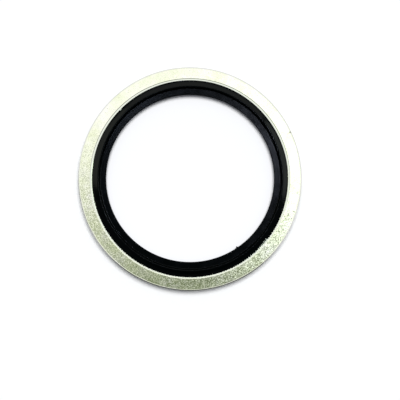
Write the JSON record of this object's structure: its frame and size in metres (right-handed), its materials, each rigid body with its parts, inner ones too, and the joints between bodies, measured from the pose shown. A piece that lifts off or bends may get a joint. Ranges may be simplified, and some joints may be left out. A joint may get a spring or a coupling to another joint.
{
  "type": "bonded sealing washer",
  "caption": "Flat zinc-plated steel ring with a black rubber seal bonded into its bore, with a raised lip on both sides and a thin web that centres it on a thread.",
  "frame": {"origin": "on the washer's axis, at half of its thickness", "axes": "+Z along the axis, out of the side that the picture shows; +X to the picture's right and +Y to its top"},
  "size_m": [0.0564, 0.0564, 0.0038],
  "materials": {
    "zinc_plate": "bright zinc plate, passivated with a faint yellow-green tint, finely pitted",
    "nitrile_rubber": "black nitrile rubber as moulded, satin"
  },
  "bodies": {
    "root": {"metal_ring": "zinc_plate", "rubber_seal": "nitrile_rubber"}
  },
  "joints": []
}
